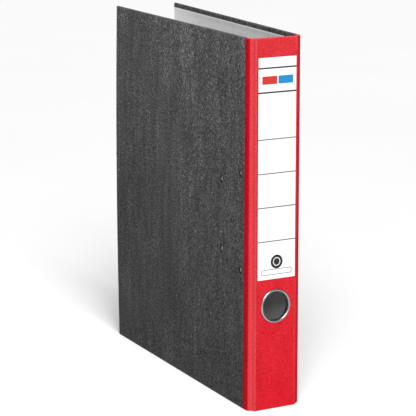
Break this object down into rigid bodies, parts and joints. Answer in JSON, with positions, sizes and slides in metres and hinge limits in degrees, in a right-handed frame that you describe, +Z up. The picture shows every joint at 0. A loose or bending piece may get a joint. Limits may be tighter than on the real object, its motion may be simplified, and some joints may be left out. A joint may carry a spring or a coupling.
{
  "type": "lever arch file",
  "caption": "Upright A4 lever arch file: board covers on a creased spine with a label and finger ring, and a riveted lever arch mechanism for punched sheets.",
  "frame": {"origin": "centre of the bottom of the bounding box, on the surface that the file stands on", "axes": "+Z up along the spine, -Y the way the spine faces, -X the rear cover's side, +X the front cover's side"},
  "size_m": [0.0636, 0.2896, 0.318],
  "materials": {
    "grey_board": "matt",
    "marbled_paper": "matt, cloud-marbled print",
    "lining_paper": "matt",
    "red_cloth": "fine-grained spine covering",
    "label_paper": "matt white",
    "nickel": "nickel plated",
    "plated_steel": "nickel plated sheet",
    "spring_steel": "oiled wire",
    "roller_plastic": "moulded"
  },
  "bodies": {
    "rear_cover": {"rear_board": "grey_board", "rear_marbled_paper": "marbled_paper", "rear_lining": "lining_paper", "rear_cloth_flange": "red_cloth", "base_plate": "plated_steel", "upper_post": "nickel", "lower_post": "nickel", "mechanism_rivets": "nickel", "lever_pin": "nickel", "arch_spring": "spring_steel"},
    "rear_hinge_strip": {"rear_hinge_board": "grey_board", "rear_hinge_cloth": "red_cloth", "rear_hinge_lining": "lining_paper"},
    "spine": {"spine_board": "grey_board", "spine_cloth": "red_cloth", "spine_lining": "lining_paper", "spine_label": "label_paper", "finger_ring": "nickel", "finger_ring_back": "nickel"},
    "front_hinge_strip": {"front_hinge_board": "grey_board", "front_hinge_cloth": "red_cloth", "front_hinge_lining": "lining_paper"},
    "front_cover": {"front_board": "grey_board", "front_marbled_paper": "marbled_paper", "front_lining": "lining_paper", "front_cloth_flange": "red_cloth"},
    "arch": {"arch_wire": "nickel"},
    "lever": {"lever": "plated_steel", "roller_pin": "nickel"},
    "roller": {"roller": "roller_plastic"},
    "compressor": {"compressor_bar": "plated_steel", "compressor_catches": "plated_steel"}
  },
  "joints": [
    {"name": "rear_fold", "type": "hinge", "parent": "rear_cover", "child": "rear_hinge_strip", "pos_m": [-0.03179, -0.13918, 0], "axis": [0, 0, -1], "range_deg": [0, 48]},
    {"name": "rear_spine_fold", "type": "hinge", "parent": "rear_hinge_strip", "child": "spine", "pos_m": [-0.02601, -0.14439, 0], "axis": [0, 0, -1], "range_deg": [0, 48]},
    {"name": "front_fold", "type": "hinge", "parent": "spine", "child": "front_hinge_strip", "pos_m": [0.01377, -0.14021, 0], "axis": [0, 0, -1], "range_deg": [0, 40.7]},
    {"name": "front_cover_fold", "type": "hinge", "parent": "front_hinge_strip", "child": "front_cover", "pos_m": [0.01911, -0.13454, 0], "axis": [0, 0, -1], "range_deg": [0, 40.7]},
    {"name": "lever_lift", "type": "hinge", "parent": "rear_cover", "child": "lever", "pos_m": [-0.01659, -0.09548, 0.162], "axis": [0, 0, 1], "range_deg": [0, 85]},
    {"name": "arch_swing", "type": "hinge", "parent": "rear_cover", "child": "arch", "pos_m": [-0.02404, -0.10618, 0.162], "axis": [0, 0, -1], "range_deg": [0, 42]},
    {"name": "roller_spin", "type": "hinge", "parent": "lever", "child": "roller", "pos_m": [-0.02048, -0.09773, 0.162], "axis": [0, 0, 1], "continuous": true},
    {"name": "compressor_slide", "type": "slide", "parent": "rear_cover", "child": "compressor", "axis": [1, 0, 0], "range_m": [0, 0.016]}
  ],
  "couplings": [
    {"joint": "rear_spine_fold", "follows": "rear_fold", "ratio": 1},
    {"joint": "front_cover_fold", "follows": "front_fold", "ratio": 1},
    {"joint": "arch_swing", "follows": "lever_lift", "ratio": 0.49411}
  ]
}
